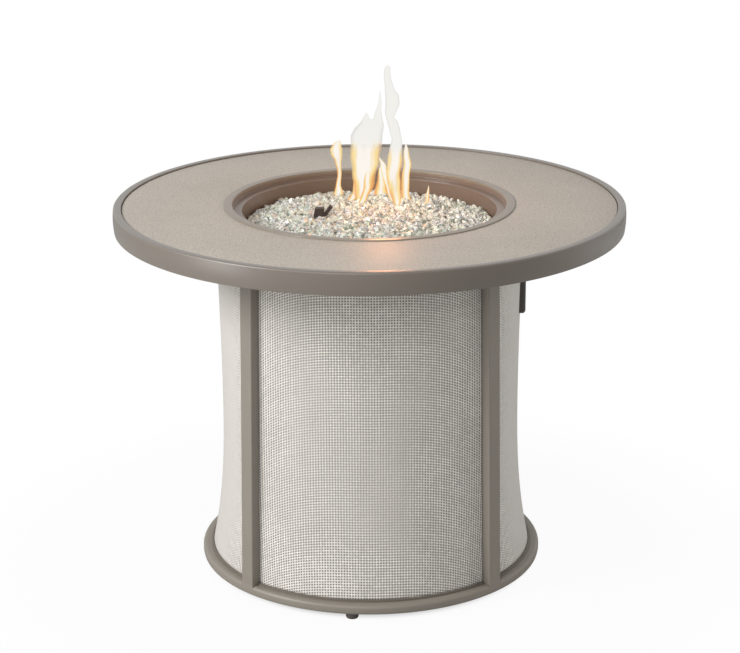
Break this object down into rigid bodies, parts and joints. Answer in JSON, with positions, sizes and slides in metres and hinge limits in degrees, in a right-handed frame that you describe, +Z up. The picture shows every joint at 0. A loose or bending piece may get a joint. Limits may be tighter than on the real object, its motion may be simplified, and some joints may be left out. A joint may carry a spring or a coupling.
{
  "type": "gas fire pit table",
  "caption": "Round stone-topped gas fire pit table: burner bowl with fire glass, drum base with stretched mesh panels, rear door to the gas cylinder, side controls.",
  "frame": {"origin": "on the floor, under the centre of the round top", "axes": "+Z up, -Y to the front panel between the two front posts, +X to the panel with the controls, the door at +Y"},
  "size_m": [0.8, 0.8, 0.5905],
  "materials": {
    "rim_paint": "powder coated taupe, fine texture, satin",
    "frame_paint": "powder coated taupe, fine texture, satin",
    "inner_paint": "powder coated dark brown, matte",
    "bowl_paint": "heat-resistant dark bronze coating, satin",
    "stone": "opaque cast stone with fine speckles, honed",
    "sling_mesh": "woven coated polyester mesh, open weave",
    "glass_fill": "loose clear tempered glass, crushed",
    "steel": "stainless, satin",
    "zinc": "zinc plated",
    "brass": "machined",
    "tube_alloy": "drawn tube",
    "casting": "die cast, matte",
    "ceramic": null,
    "black_plastic": "black, fine texture",
    "glide_plastic": "black",
    "pad_rubber": "silicone",
    "lead_rubber": "silicone sleeve, black",
    "magnet": "magnet in a black case"
  },
  "bodies": {
    "table": {"rim_ring": "rim_paint", "stone_top": "stone", "stone_pads": "pad_rubber", "top_arms": "inner_paint", "support_ring": "inner_paint", "top_screws": "zinc", "burner_pan": "bowl_paint", "pan_rim": "bowl_paint", "burner_ring": "steel", "gas_elbow": "brass", "air_mixer": "zinc", "gas_orifice": "brass", "fire_glass": "glass_fill", "sensor_hood": "bowl_paint", "thermocouple": "steel", "spark_electrode": "ceramic", "control_plate": "bowl_paint", "control_bracket": "inner_paint", "control_screws": "zinc", "valve_body": "casting", "valve_bonnet": "casting", "bracket_nuts": "brass", "valve_inlet": "brass", "valve_tube": "tube_alloy", "fitting_nuts": "brass", "igniter_body": "black_plastic", "igniter_bezel": "steel", "igniter_battery": "zinc", "igniter_spring": "steel", "thermocouple_lead": "lead_rubber", "igniter_lead": "lead_rubber", "lead_clips": "black_plastic", "bottom_ring": "frame_paint", "top_ring": "frame_paint", "post_front_left": "frame_paint", "post_front_right": "frame_paint", "post_rear_left": "frame_paint", "post_rear_right": "frame_paint", "foot_glides": "glide_plastic", "tray_bars": "inner_paint", "tank_tray": "inner_paint", "tank_collar": "inner_paint", "sling_front": "sling_mesh", "sling_left": "sling_mesh", "sling_right": "sling_mesh", "sling_splines": "black_plastic", "bottom_tracks": "frame_paint", "top_tracks": "frame_paint", "hinge_brackets": "frame_paint", "hinge_pins": "steel", "catch_magnet": "magnet"},
    "valve_plug": {"valve_plug": "brass", "spindle_spring": "steel"},
    "knob": {"valve_spindle": "steel", "control_knob": "black_plastic"},
    "igniter_button": {"igniter_button": "black_plastic"},
    "door": {"door_frame": "frame_paint", "sling_door": "sling_mesh", "door_pull": "frame_paint", "catch_plate": "zinc"}
  },
  "joints": [
    {"name": "knob_turn", "type": "hinge", "parent": "table", "child": "valve_plug", "pos_m": [0.2, -0.022, 0.492], "axis": [1, 0, 0], "range_deg": [0, 150]},
    {"name": "knob_push", "type": "slide", "parent": "valve_plug", "child": "knob", "axis": [-1, 0, 0], "range_m": [0, 0.003], "stiffness_N_per_m": 600, "springref_m": -0.003, "deforming": ["spindle_spring"]},
    {"name": "igniter_push", "type": "slide", "parent": "table", "child": "igniter_button", "axis": [-1, 0, 0], "range_m": [0, 0.004], "stiffness_N_per_m": 300, "springref_m": -0.004, "deforming": ["igniter_spring"]},
    {"name": "door_swing", "type": "hinge", "parent": "table", "child": "door", "pos_m": [-0.17607, 0.20294, 0.28], "axis": [0, 0, 1], "range_deg": [0, 110]}
  ]
}
